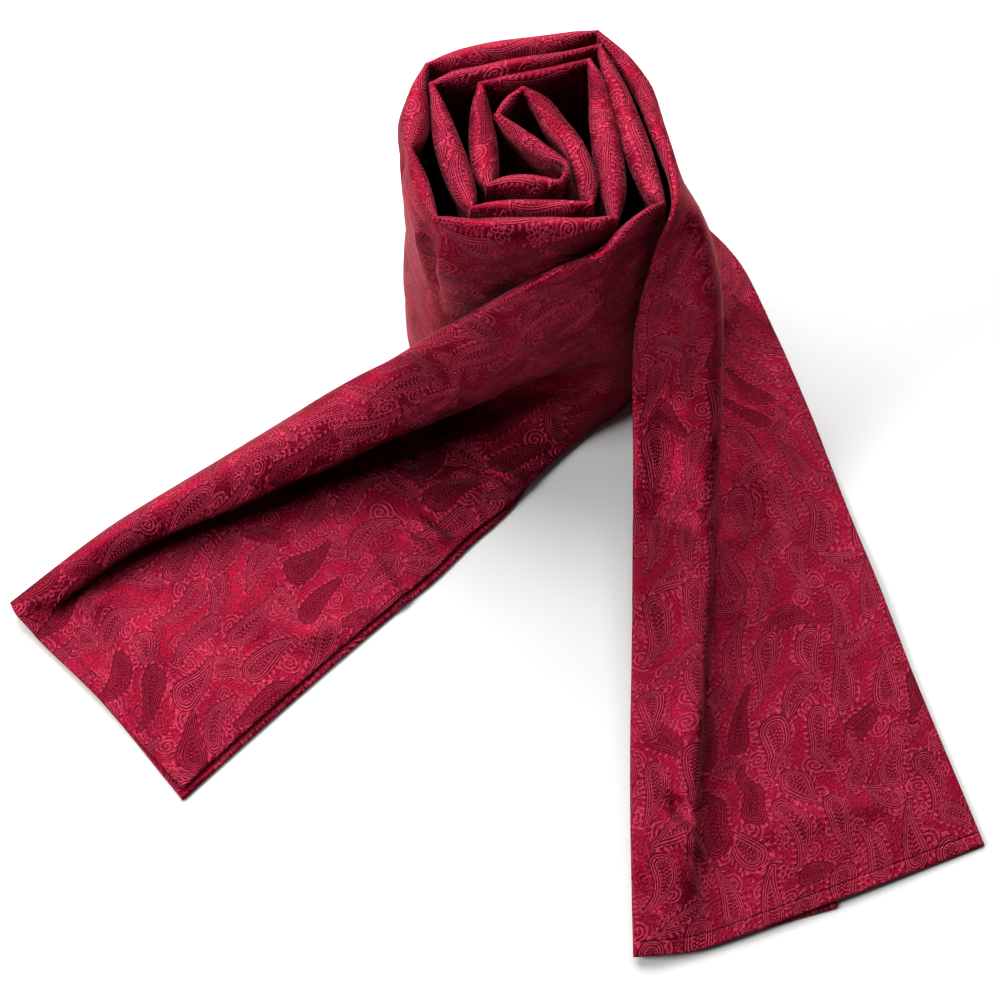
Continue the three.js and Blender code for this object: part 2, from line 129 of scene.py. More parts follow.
def skinMesh(name, faces, maps, strips):
    # a closed skin: both faces of the cloth as grids, joined at the fold, with strips along the edges that are named
    rows, columns = faces[0].shape[:2]
    index = np.arange(rows * columns).reshape(rows, columns)
    other = index + rows * columns
    corners = {
        "front": (index[:-1, :-1], index[1:, :-1], index[1:, 1:], index[:-1, 1:]),
        "back": (other[:-1, :-1], other[:-1, 1:], other[1:, 1:], other[1:, :-1]),
        "edge": (index[:-1, -1], index[1:, -1], other[1:, -1], other[:-1, -1]),
        "inner": (index[:-1, 0], other[:-1, 0], other[1:, 0], index[1:, 0]),
        "start": (index[0, :-1], index[0, 1:], other[0, 1:], other[0, :-1]),
        "end": (index[-1, :-1], other[-1, :-1], other[-1, 1:], index[-1, 1:]),
    }
    quads = np.concatenate([np.stack(corners[part], axis=-1).reshape(-1, 4) for part in ("front", "back", *strips)])
    points = np.concatenate([face.reshape(-1, 3) for face in faces])
    points[:, 2] = np.maximum(points[:, 2], 0)
    points = (points + toPart) * mm
    maps = np.concatenate([clothMap.reshape(-1, 2) for clothMap in maps])
    mesh = bpy.data.meshes.new(name)
    mesh.from_pydata(points, [], quads.tolist())
    uvLayer = mesh.uv_layers.new(name="clothMap")
    vertexOf = np.zeros(len(mesh.loops), dtype=np.int32)
    mesh.loops.foreach_get("vertex_index", vertexOf)
    uvLayer.data.foreach_set("uv", maps[vertexOf].astype(np.float32).ravel())
    work = bmesh.new()
    work.from_mesh(mesh)
    bmesh.ops.remove_doubles(work, verts=work.verts, dist=meshing["weld"])
    bmesh.ops.dissolve_degenerate(work, edges=work.edges, dist=meshing["sliver"])
    work.to_mesh(mesh)
    work.free()
    mesh.polygons.foreach_set("use_smooth", np.ones(len(mesh.polygons), dtype=bool))
    mesh.set_sharp_from_angle(angle=math.radians(meshing["sharpAngle"]))
    piece = bpy.data.objects.new(name, mesh)
    bpy.context.scene.collection.objects.link(piece)
    print(name, len(mesh.polygons), "faces")
    return piece


# the wound coil, in order along the scarf: each stretch's rows are x, y, height of the fold and its swell
coil = {
    "wall": 1.2,               # half the wall's thickness
    "fall": 17,                # how far down the swell of the fold fades out
    "stepAlong": 1.7,
    "leastSteps": 8,           # in a stretch, whose length is measured on so many samples
    "samples": 60,
    "spacing": 2.6,
    "softSteps": {"top": 3, "swell": 4, "outer": 30, "flare": 20, "bulge": 12, "plan": 90},
    "softDepths": (2, 45),     # between these depths the wall leaves its fold line for the softened one
    "softInside": 0.2,         # and by this share inside the coil
    "puff": 1.28,
    "puffSwell": (1.4, 2.6),   # the puff, the bulge and the ripples come in between these swells of the fold
    "bulgeSwell": (1.2, 2.0),
    "waveSwell": (1.3, 2.5),
    "flare": [[2, 2], [6.5, 6.5], [6.5, 1], [0, 0]],    # outward at the start and end of each outer stretch
    "flareDepths": (15, 100),
    "bulge": [[4, 4], [4, 4], [4, 7], [8.5, 0]],
    "bulgeDepths": (0, 18, 22, 75),
    "foldWaves": (0.5, 3),     # size and seed
    "wallWaves": (0.45, 5),
    "waveDepths": (2, 22),
    "stretches": [
        [[40.2, 143, 140, 1.3], [20.7, 139.2, 140, 3.7], [0, 135.6, 139.5, 4.2], [-16.5, 131.6, 139, 3.9],
         [-29.8, 127, 138.5, 1.3]],
        [[-29.8, 127, 138.5, 1.3], [-32.5, 120, 138, 2], [-33.6, 112, 138, 3.2], [-34, 103, 138, 5],
         [-34.8, 93, 137.5, 4.2], [-36.6, 85, 137, 1.4]],
        [[-36.6, 85, 137, 1.4], [-32.8, 73, 136.5, 2.6], [-28.7, 61, 136, 2.2], [-25.5, 51, 135.5, 1.3]],
        [[-25.5, 51, 135.5, 1.3], [-16, 49.2, 135, 3.2], [0, 48.6, 135, 4.2], [20, 49, 135, 3.8],
         [36, 50, 135, 2.4], [45.8, 51.8, 135, 1.3]],
        [[45.8, 51.8, 135, 1.3], [45.3, 66, 136, 4.4], [43.9, 84, 136.5, 5.1], [42, 103, 137, 4.6],
         [39.6, 121, 137.5, 2.6], [36.8, 130.4, 137, 1.3]],
        [[36.8, 130.4, 137, 1.3], [28.8, 127, 138, 2.1], [18.5, 123.8, 138, 2.4], [8.2, 121.3, 138, 2.4],
         [0, 119.6, 137.5, 2.2], [-7.9, 118.2, 137, 1.3]],
        [[-7.9, 118.2, 137, 1.3], [-7.9, 106, 137, 3.4], [-6.9, 92, 136.5, 4.8], [-5.6, 76, 136, 4.4],
         [-4.4, 67, 136, 1.3]],
        [[-4.4, 67, 136, 1.3], [3, 69.5, 136, 3.2], [14, 69.8, 135.5, 3.8], [21, 69, 135.5, 2],
         [24.3, 68.8, 136, 1.3]],
        [[24.3, 68.8, 136, 1.3], [26.9, 73.5, 136, 1.6], [26.2, 78.3, 136, 1.3]],
        [[26.2, 78.3, 136, 1.3], [20, 83.2, 136, 2.6], [13.5, 88.5, 136.5, 3], [5.3, 95.5, 137, 2.6],
         [-1.2, 102, 137, 1.3]],
        [[-1.2, 102, 137, 1.3], [3.5, 110, 137, 1.9], [9.4, 115, 138, 1.3]],
        [[9.4, 115, 138, 1.3], [17, 109, 138, 3], [21.5, 101, 137.5, 4], [28, 91, 137, 4], [32.5, 81, 136.5, 3.6],
         [35, 71, 136, 3.7], [36.2, 58.5, 135, 1.3]],
        [[36.2, 58.5, 135, 1.3], [24, 58.2, 135, 2.9], [11.5, 58, 135, 3.3], [0, 57.6, 135, 2.9],
         [-11, 56, 135.5, 1.3]],
        [[-11, 56, 135.5, 1.3], [-14, 66, 136, 4], [-18.3, 80, 137, 4.8], [-22.3, 94, 137.5, 4.2],
         [-25, 106, 138, 2.6], [-28, 117.2, 138, 1.3]],
        [[-28, 117.2, 138, 1.3], [-17.6, 121.8, 138.5, 2.8], [-7.8, 124, 138.5, 3.1], [5.3, 127, 139, 3.0],
         [23.4, 131, 139, 2.2], [41, 136.4, 139, 1.3]],
        [[41, 136.4, 139, 1.3], [45, 125, 139, 2.5], [49.2, 112.4, 138.5, 3.6], [53.4, 96, 138, 4.3],
         [57.3, 80, 138, 4.4], [61, 66, 138, 3.3], [64.5, 56.6, 138, 1.3]],
    ],
}

# a strand is a skin through the lines named here, each a row of x, y and height from the coil to the hem
rightStrand = {
    "lines": ["fold", "hump", "ridge", "foot", "flat", "edge"],
    "wall": (1.2, 0.65),       # half the thickness at the coil and at the hem
    "thins": (6, 9),           # the rows between which it changes
    "fall": 13,
    "rim": 0.65,
    "spacing": 1.7,
    "rowStep": (0.062, 0.016),
    "waves": (0.28, 11),
    "hemAt": 0.0,              # the hem's place along the cloth, and which way and side the cloth runs from it
    "runs": 1,
    "side": -1,
    "fold": [[40.2, 143, 140], [50.2, 131, 139], [58.3, 115.5, 138.5], [62.5, 98, 138], [66, 82.8, 138],
             [68.6, 67.5, 138], [68.2, 52.5, 137.5], [62.8, 47.3, 121.5], [58.7, 45.1, 96], [56.4, 42, 72],
             [56.4, 33.6, 43], [57, 11.3, 23], [56.7, -12, 13.3], [55.8, -43, 10], [54.5, -82, 7], [52.8, -125, 5.5],
             [52.1, -165, 4], [51.9, -207.5, 2.6]],
    "hump": [[40.3, 143, 112], [50.6, 132.5, 112], [60, 119.5, 112], [66, 102.5, 115], [70.5, 87, 120],
            [74, 71.5, 127], [74.5, 57.5, 131], [71, 49, 121], [69.5, 44.4, 101], [70, 38, 80], [71.5, 30.3, 51],
            [72.5, 11.5, 29], [72.5, -9.5, 18.5], [71, -39.3, 13.5], [69, -78.3, 10.5], [65, -120.8, 8.5],
            [62, -163, 7], [60, -207.3, 3.3]],
    "ridge": [[40.5, 143, 75], [51.2, 136, 75], [62, 128, 75], [70.5, 112, 82], [76, 96, 94], [79.5, 79, 107],
             [79, 59, 127], [81.8, 49.3, 121.7], [85.5, 41.1, 107.8], [88.8, 33.1, 88.6], [91, 25.1, 60],
             [91.3, 5.7, 37], [90, -11.6, 24], [88.7, -41.2, 17], [86, -79.8, 14.2], [81, -122, 12.2],
             [76.5, -162, 8], [68, -206.3, 2.7]],
    "foot": [[40.7, 143.2, 35], [52.3, 143, 35], [64.5, 142, 36], [76, 134, 36], [84, 122, 42], [89, 108, 48],
            [90.4, 112, 30], [90, 113, 20], [92, 98, 20], [93, 80.5, 12], [93.5, 58, 6], [93, 27, 4], [92, 1, 3],
            [90.8, -31, 2.8], [89, -71, 2.6], [87.5, -113, 2.4], [82, -155, 2.3], [78.2, -204.3, 2.2]],
    "flat": [[40.8, 143.4, 15], [53, 147, 14], [65.5, 149.5, 13], [78, 146.5, 12], [87, 139, 12], [93, 128, 12],
             [97.5, 117.5, 10], [101.5, 107, 8], [106, 94, 5], [110.5, 79, 3.2], [115.5, 60, 2.5], [119, 35, 2.2],
             [122, 10, 2.2], [125, -19, 2.2], [128, -55, 2.2], [133, -98, 2.2], [132, -137, 2.2],
             [129.6, -185.4, 2.2]],
    "edge": [[41, 143.5, 0], [53.5, 150, 0], [66, 156, 0], [79, 158, 0], [89, 154, 0], [96, 145, 0],
             [104.5, 134.7, 0], [111, 124, 0], [117.5, 108, 0.3], [123, 91, 0.6], [130.8, 67, 0.6], [138.5, 41, 0.6],
             [144.3, 19, 0.6], [151, -6.5, 0.6], [161.3, -43, 0.6], [171.5, -82, 0.6], [182.4, -119.5, 0.6],
             [194.2, -160.1, 0.6]],
    "swell": [1.3, 3.5, 4.2, 3.6, 3.2, 2.4, 1.5, 1.5, 1.7, 1.8, 1.9, 2, 2, 1.9, 1.8, 1.7, 1.6, 1.5],
    "creases": [[65.8, -141.4, 76.3, -152.6, 4.4, -5], [70.3, -157.0, 81.8, -167.2, 3.4, 2.0],
                [68.1, -160.9, 77.7, -171.0, 3, -1.6], [89.5, -55.3, 81.9, -160.4, 4.6, -2.6],
                [54.6, -175.7, 61.3, -188.1, 4, -2.2], [114.7, 39.0, 126.2, -60.0, 9, 1.6],
                [153.7, -30.9, 165.0, -123.7, 10, 1.2], [94.2, -156.4, 161.5, -141.3, 7, 1.1],
                [59.8, 30.4, 81.6, 21.5, 4, -1.3], [58.2, -11.6, 84.0, -28.4, 5, -1.4],
                [56.4, -59.5, 78.0, -78.0, 5, -1.2], [92.5, -78.7, 106.4, -115.1, 6, 1.4],
                [126.6, 99.7, 133.9, 72.7, 5, 1.4]],
}

leftStrand = {
    "lines": ["fold", "hump", "lip", "valley", "flat", "edge"],
    "wall": (1.2, 0.65),
    "thins": (2, 5),
    "fall": 13,
    "rim": 0.65,
    "spacing": 1.7,
    "rowStep": (0.066, 0.022),
    "waves": (0.28, 23),
    "hemAt": rightLength + coilLength + leftLength,
    "runs": -1,
    "side": 1,
    "fold": [[64.5, 56.6, 138], [58.6, 53.4, 137.5], [48.5, 46.8, 133.5], [40, 42.9, 124], [24.1, 41, 115.5],
             [4.9, 39.2, 102.5], [-12, 39.3, 86], [-28, 39.8, 70], [-46, 42.2, 47], [-64.6, 39.3, 32],
             [-86.7, 32.8, 17], [-110, 18.6, 12.5], [-135, 2.2, 10.5], [-165, -18.3, 8.5], [-190.6, -40, 6.8],
             [-206.7, -52.5, 3.5]],
    "hump": [[64.5, 56.4, 112], [58.8, 51.8, 114], [49.5, 44.3, 112], [41.3, 40, 104], [27, 37.2, 96],
            [9, 33.6, 89], [-6, 31.5, 77], [-20, 31, 66.5], [-36, 34, 50], [-55, 32.5, 39], [-77.5, 27.5, 28],
            [-101.5, 14, 23], [-127, -2, 18.5], [-158, -21.6, 14], [-184.5, -42, 10], [-203.5, -58.5, 4.8]],
    "lip": [[64.5, 56.4, 70], [59.5, 51.6, 64], [51.5, 44.3, 62], [44.5, 40.3, 60], [33, 36.8, 57], [18, 32.8, 52],
            [3, 30.5, 44], [-10, 29.8, 35], [-25, 25.1, 28], [-45, 18.5, 23], [-69, 8, 19], [-93, -2.4, 15.5],
            [-120, -15.3, 12.5], [-151.5, -28, 9], [-180, -49.5, 6.5], [-198, -64, 3.2]],
    "valley": [[64.5, 56.4, 40], [60, 52.8, 40], [53, 46.6, 40], [46.5, 43.4, 38], [35, 46, 32], [20, 46.3, 24],
              [3.5, 46.5, 16], [-8, 46.5, 10], [-27, 44, 5], [-49, 37.5, 4], [-73.5, 28, 3.2], [-97, 13.5, 3],
              [-123, -2, 2.8], [-153.5, -21, 2.6], [-181, -44, 2.4], [-193, -69.5, 2.3]],
    "flat": [[64.5, 56.5, 18], [60.4, 53.2, 18], [54, 47, 18], [48.5, 42.6, 18], [40.5, 37.5, 14], [28, 30.5, 9],
             [16, 22.5, 5], [6, 11.5, 3], [-8, 1, 2.4], [-26, -8, 2.2], [-44, -17, 2.2], [-70, -26, 2.2],
             [-94, -42, 2.2], [-118, -66, 2.2], [-147, -85, 2.2], [-168, -94, 2.2]],
    "edge": [[64.5, 56.6, 0], [60.6, 53.8, 0], [55, 48.5, 0], [50.5, 43.5, 0], [44, 38.5, 0.3], [33, 28, 1.2],
             [24, 19, 2], [14, 8, 2.2], [3, -4.5, 2.2], [-12.6, -18.5, 2.2], [-28.8, -36.8, 2.2], [-46.8, -53.8, 2.2],
             [-64.6, -71, 2.2], [-87.6, -94, 2.2], [-110, -117, 2.2], [-128.5, -136.3, 2.2]],
    "swell": [1.3, 1.8, 2.2, 2.4, 2.6, 2.8, 2.9, 3, 3, 2.8, 2.4, 2.2, 2, 1.8, 1.6, 1.5],
    "creases": [[-3.5, 13.6, 10.4, 7.0, 3.2, 2.4], [-6.1, 8.6, 5.2, 2.5, 3, 1.4],
                [-36.6, -12.9, -23.1, -21.8, 3, 2.2], [-41.2, -19.3, -29.9, -27.2, 3, 1.2],
                [-57.2, -29.1, -40.5, -53.2, 4, 1.6],
                [21.2, 50.4, 34.4, 44.2, 3.5, 1.8], [-86.4, -4.3, -34.9, 15.9, 8, 1.4],
                [-116.3, -50.2, -71.1, -71.4, 9, 1.1], [-164.5, -55.0, -103.2, -99.1, 9, 0.9],
                [-195.1, -55.0, -181.6, -65.3, 4.5, -2.2], [-177.8, -47.5, -164.7, -53.2, 7, 1.8],
                [-19.7, 24.9, 0.0, 32.6, 5, 1.6], [-83.8, -69.1, -65.1, -63.5, 5, 1.2]],
}

# the lower layers lie a layer under the upper ones and stand out past them at the hem and the left tail's edge,
# from a row of the strand's tables on, and between two columns of its grid counted from the fold. Which way is out
# is told from the last points, as many as headings says
layer = {"step": 1.6, "half": 0.65, "rampRows": 24, "near": 12, "hemSpread": (1.3, 0.3), "headings": 8, "mapShift": 17}
rightUnder = {"fromRow": 10, "start": 21, "end": 58, "edgeStep": 0, "hemStep": 2.4, "hemAt": 40}
leftUnder = {"fromRow": 7.03, "start": 19, "end": None, "edgeStep": 3.2, "hemStep": 3.4, "hemAt": 1640}

# how a strand's drape is worked out: samples across, softening steps, and where troughs and ripples fade out
drapeRules = {
    "samples": 241,
    "softAlong": 10,
    "softAcross": 3,
    "softColumns": 20,
    "troughs": (2.4, 4),               # full depth from this height on, over this rise
    "rippleAcross": (0, 20, 0.15),     # from, over and least
    "rippleHeight": (2, 6, 0.25),
}


def sideways(before, after):
    # the mitre at every row, from the headings before and after it
    sides = np.stack([-(before + after)[..., 1], (before + after)[..., 0]], axis=-1)
    return sides / np.maximum(1 + (before * after).sum(axis=-1, keepdims=True), 0.12)


def ease(value, start, end):
    # 0 before start and 1 after end, with a soft S between
    share = np.clip((value - start) / (end - start), 0, 1)
    return share * share * (3 - 2 * share)


def lengthDown(side):
    # the cloth's own length from the fold to each point, summed along its column
    steps = np.linalg.norm(np.diff(side, axis=1), axis=2)
    return np.concatenate([np.zeros((len(side), 1)), np.cumsum(steps, axis=1)], axis=1)


def outerRamp(pairs, stretches):
    # from the start to the end value along each outer stretch, and nothing inside the coil
    ramps = [np.linspace(*pair, len(rows)) for pair, rows in zip(pairs, stretches)]
    return np.concatenate(ramps + [np.zeros(len(rows)) for rows in stretches[len(pairs):]])


def makeCoil():
    # the fold line turns sharply at its corners, and lower down the wall follows a softened copy of that line.
    # Each face lies off the wall's middle by half its thickness, along the mitre of the headings beside it
    tops, swells, steps = [], [], coil["softSteps"]
    for k, rows in enumerate(np.array(rows, dtype=float) for rows in coil["stretches"]):
        rough = smoothCurve(rows[:, :3], np.linspace(0, 1, coil["samples"]))
        length = np.linalg.norm(np.diff(rough, axis=0), axis=1).sum()
        shares = np.linspace(0, 1, max(int(length / coil["stepAlong"]), coil["leastSteps"]) + 1)
        tops.append(soften(smoothCurve(rows[:, :3], shares), steps["top"])[min(k, 1):])
        swell = np.interp(shares * (len(rows) - 1), np.arange(len(rows)), rows[:, 3])
        swells.append(soften(swell, steps["swell"])[min(k, 1):])
    top, swell = np.concatenate(tops), np.concatenate(swells)
    outer = soften(outerRamp([(1, 1)] * len(coil["flare"]), tops), steps["outer"])
    flare = soften(outerRamp(coil["flare"], tops), steps["flare"])
    bulge = soften(outerRamp(coil["bulge"], tops), steps["bulge"])
    u = rightLength + np.concatenate([[0], np.cumsum(np.linalg.norm(np.diff(top, axis=0), axis=1))])
    top[:, 2] += waves(u, 0 * u, *coil["foldWaves"]) * ease(swell, *coil["waveSwell"])
    swell = swell * (1 + (coil["puff"] - 1) * ease(swell, *coil["puffSwell"]))
    down = foldColumns(swell, top[:, 2], coil["spacing"], 0)
    half = puffedHalf(down, swell[:, None], coil["fall"], coil["wall"])
    soft = soften(top[:, :2], steps["plan"])
    least = coil["softInside"]
    share = (ease(down, *coil["softDepths"]) * (least + (1 - least) * outer[:, None]))[:, :, None]
    plan = top[:, None, :2] * (1 - share) + soft[:, None] * share
    right, left = (np.array(table["fold"][:2], dtype=float)[:, :2] for table in (rightStrand, leftStrand))
    entry, leave = unit(right[0] - right[1]), unit(left[1] - left[0])
    headings = unit(np.diff(plan, axis=0))
    before = np.concatenate([np.broadcast_to(entry, headings[:1].shape), headings])
    after = np.concatenate([headings, np.broadcast_to(leave, headings[:1].shape)])
    across = sideways(before, after)
    plan = plan - across * (flare[:, None] * ease(down, *coil["flareDepths"]))[:, :, None]
    rise, full, fade, gone = coil["bulgeDepths"]
    bulge = (bulge * ease(swell, *coil["bulgeSwell"]))[:, None] * ease(down, rise, full) * (1 - ease(down, fade, gone))
    along = np.repeat(u[:, None], down.shape[1], axis=1)
    sides, maps = [], []
    for sign in (1, -1):
        ripple = waves(along, sign * down, *coil["wallWaves"]) * ease(down, *coil["waveDepths"])
        thick = half + ripple + (bulge if sign < 0 else 0)
        flat = plan + sign * thick[:, :, None] * across
        sides.append(np.concatenate([flat, (top[:, 2:3] - down)[:, :, None]], axis=-1))
        maps.append(np.stack([along, sign * lengthDown(sides[-1])], axis=-1))
    piece = skinMesh("coilCloth", sides, maps, ("edge", "start", "end"))
    print("coil is", round(u[-1] - rightLength), "mm along its fold")
    mitres = np.concatenate([across[[0, -1], 0], np.zeros((2, 1))], axis=1)
    return piece, mitres[0], mitres[1]


def strandRows(table):
    # row numbers along a strand, with the last ones close together for the rounded hem
    step, rim = table["rowStep"]
    last = len(table["swell"]) - 1
    rounded = rim * np.sin(np.linspace(0, np.pi / 2, meshing["rimSteps"]))
    return np.concatenate([np.arange(0, last - rim, step), last - rim + rounded])


def faded(value, start, over, least):
    return np.clip((value - start) / over, least, 1)


def normals(middle):
    return unit(np.cross(np.gradient(middle, axis=0), np.gradient(middle, axis=1)))


def drape(table):
    # each line of the drape is a smooth curve along it, and each section is a smooth curve across the lines.
    # The grid is then softened, and lifted along its normal by the creases and low ripples
    rowAt = strandRows(table)
    last = len(table["swell"]) - 1
    curves = smoothCurve(np.array([table[line] for line in table["lines"]], dtype=float), rowAt / last)
    fine = smoothCurve(np.swapaxes(curves, 0, 1), np.linspace(0, 1, drapeRules["samples"]))
    lengths = lengthDown(fine)
    swell = np.interp(rowAt, np.arange(last + 1), table["swell"])
    across = foldColumns(swell, lengths[:, -1], table["spacing"], table["rim"])
    middle = np.stack([[np.interp(d, l, f[:, k]) for k in range(3)] for d, l, f in zip(across, lengths, fine)])
    middle = soften(np.swapaxes(middle, 1, 2), drapeRules["softAlong"])
    inner = np.swapaxes(soften(np.swapaxes(middle, 0, 1), drapeRules["softAcross"]), 0, 1)
    blend = np.clip(np.arange(middle.shape[1]) / drapeRules["softColumns"], 0, 1)[None, :, None]
    middle = middle + (inner - middle) * blend
    along = np.swapaxes(lengthDown(np.swapaxes(middle, 0, 1)), 0, 1)
    height = middle[:, :, 2]
    lift = plainCreases(middle[:, :, 0], middle[:, :, 1], table["creases"])
    lift = np.where(lift < 0, lift * faded(height, *drapeRules["troughs"], 0), lift)
    grow = faded(across, *drapeRules["rippleAcross"]) * faded(height, *drapeRules["rippleHeight"])
    lift = lift + waves(along, across, *table["waves"]) * grow
    middle = middle + normals(middle) * lift[:, :, None]
    return {"middle": middle, "normal": normals(middle), "across": across, "toHem": along[-1:] - along,
            "swell": swell, "rows": rowAt}


def upperSkin(name, table, grid, mitre):
    # the upper wall of a strand: its middle moved both ways along the normal by half a thickness that is puffed at
    # the fold, thick where it leaves the coil, one folded layer further on, and nothing at the rounded edges
    wallRow = np.interp(grid["rows"], table["thins"], table["wall"])
    half = puffedHalf(grid["across"], grid["swell"][:, None], table["fall"], wallRow[:, None])
    half = half * rimRound(grid["across"][:, -1:] - grid["across"], table["rim"])
    half = half * rimRound(grid["toHem"], table["rim"])
    normal = grid["normal"].copy()
    normal[0] = mitre
    faces = [grid["middle"] + sign * normal * half[:, :, None] for sign in (1, -1)]
    u = table["hemAt"] + table["runs"] * grid["toHem"]
    maps = [np.stack([u, table["side"] * sign * lengthDown(face)], axis=-1) for sign, face in zip((1, -1), faces)]
    return skinMesh(name, faces, maps, ("start",))


def underSkin(name, table, grid, under):
    # the lower layer: the upper wall's own points moved in, its edge and hem moved out past the upper ones
    first = int(np.searchsorted(grid["rows"], under["fromRow"]))
    middle, normal, across, toHem = (grid[key][first:, under["start"]:under["end"]]
                                     for key in ("middle", "normal", "across", "toHem"))
    middle = middle - layer["step"] * normal
    ramp = np.clip(np.arange(len(middle)) / layer["rampRows"], 0, 1)[:, None, None]
    back = -layer["headings"]
    aside = unit((middle[:, -1:] - middle[:, back:back + 1]) * [1, 1, 0])
    nearEdge = np.clip(1 - (across[:, -1:] - across) / layer["near"], 0, 1)[:, :, None]
    middle = middle + aside * nearEdge * ramp * under["edgeStep"]
    outward = unit((middle[-1:] - middle[back:back + 1]) * [1, 1, 0])
    share = np.linspace(0, 1, middle.shape[1])[None, :, None]
    nearHem = np.clip(1 - toHem / layer["near"], 0, 1)[:, :, None]
    more, less = layer["hemSpread"]
    middle = middle + outward * nearHem * under["hemStep"] * (more * share ** 2 - less)
    half = layer["half"] * rimRound(across[:, -1:] - across, table["rim"]) * rimRound(toHem, table["rim"])
    faces = [middle + sign * normal * half[:, :, None] for sign in (1, -1)]
    u = under["hemAt"] + table["runs"] * toHem
    maps = [np.stack([u, table["side"] * sign * across + layer["mapShift"]], axis=-1) for sign in (1, -1)]
    return skinMesh(name, faces, maps, ("edge", "inner", "start"))


coilCloth, rightMitre, leftMitre = makeCoil()
rightGrid, leftGrid = drape(rightStrand), drape(leftStrand)
rightTop = upperSkin("rightStrandCloth", rightStrand, rightGrid, -rightMitre)
leftTop = upperSkin("leftStrandCloth", leftStrand, leftGrid, leftMitre)
rightLower = underSkin("rightUnderCloth", rightStrand, rightGrid, rightUnder)
leftLower = underSkin("leftUnderCloth", leftStrand, leftGrid, leftUnder)


def addNode(tree, kind, **settings):
    node = tree.nodes.new(kind)
    for name, value in settings.items():
        setattr(node, name, value)
    return node


def feed(tree, socket, value):
    if isinstance(value, bpy.types.NodeSocket):
        tree.links.new(value, socket)
    else:
        socket.default_value = value


def fedNode(tree, kind, values, **settings):
    # a node with its first sockets, or the ones that are named, fed from the values
    node = addNode(tree, kind, **settings)
    for label, value in values.items() if isinstance(values, dict) else enumerate(values):
        feed(tree, node.inputs[label], value)
    return node


def calc(tree, operation, *values):
    return fedNode(tree, "ShaderNodeMath", values, operation=operation).outputs[0]


def plus(tree, first, second):
    return calc(tree, "ADD", first, second)


def minus(tree, first, second):
    return calc(tree, "SUBTRACT", first, second)


def times(tree, first, *others):
    for other in others:
        first = calc(tree, "MULTIPLY", first, other)
    return first


def most(tree, first, *others):
    for other in others:
        first = calc(tree, "MAXIMUM", first, other)
    return first


def spanned(tree, value, limits, **settings):
    # the value carried from the first two limits to the last two
    return fedNode(tree, "ShaderNodeMapRange", (value, *limits), **settings).outputs[0]


def softStep(tree, value, zeroAt, oneAt):
    return spanned(tree, value, (zeroAt, oneAt, 0, 1), interpolation_type="SMOOTHSTEP")


def inside(tree, value, limit, soft):
    # 1 where the value is below the limit
    return softStep(tree, value, limit, limit - soft)


def above(tree, value, limit, soft):
    return inside(tree, times(tree, value, -1.0), limit, soft)


def near(tree, value, centre, half):
    # 1 on a line at centre, falling to 0 at the distance half from it
    return softStep(tree, calc(tree, "ABSOLUTE", minus(tree, value, centre)), half, half * 0.35)


def split(tree, vector):
    return fedNode(tree, "ShaderNodeSeparateXYZ", (vector,)).outputs


def join(tree, *values):
    return fedNode(tree, "ShaderNodeCombineXYZ", values).outputs[0]


def vectorSum(tree, vector, factor, other):
    return fedNode(tree, "ShaderNodeVectorMath", (vector, factor, other), operation="MULTIPLY_ADD").outputs[0]


def turned(tree, vector, angle):
    return fedNode(tree, "ShaderNodeVectorRotate", {"Vector": vector, "Angle": angle},
                   rotation_type="Z_AXIS").outputs[0]


def clothNoise(tree, vector, scale, detail=0.0):
    return fedNode(tree, "ShaderNodeTexNoise", {"Vector": vector, "Scale": scale, "Detail": detail},
                   noise_dimensions="2D").outputs


def mixed(tree, kind, factor, first, second):
    node = addNode(tree, "ShaderNodeMix", data_type=kind)
    for label, value in (("Factor", factor), ("A", first), ("B", second)):
        feed(tree, node.inputs[label], value)
    return node.outputs["Result"]


def radiusOf(tree, place):
    return calc(tree, "SQRT", plus(tree, times(tree, place[0], place[0]), times(tree, place[1], place[1])))


def newGroup(name, inputs, outputs):
    tree = bpy.data.node_groups.new(name, "ShaderNodeTree")
    for label, value in inputs.items():
        kind = "NodeSocketVector" if isinstance(value, tuple) else "NodeSocketFloat"
        tree.interface.new_socket(label, in_out="INPUT", socket_type=kind).default_value = value
    for label in outputs:
        kind = "NodeSocketVector" if label in ("Place", "Random") else "NodeSocketFloat"
        tree.interface.new_socket(label, in_out="OUTPUT", socket_type=kind)
    return tree, tree.nodes.new("NodeGroupInput").outputs, tree.nodes.new("NodeGroupOutput").inputs


def placeGroup(tree, group, values):
    return fedNode(tree, "ShaderNodeGroup", values, node_tree=group).outputs


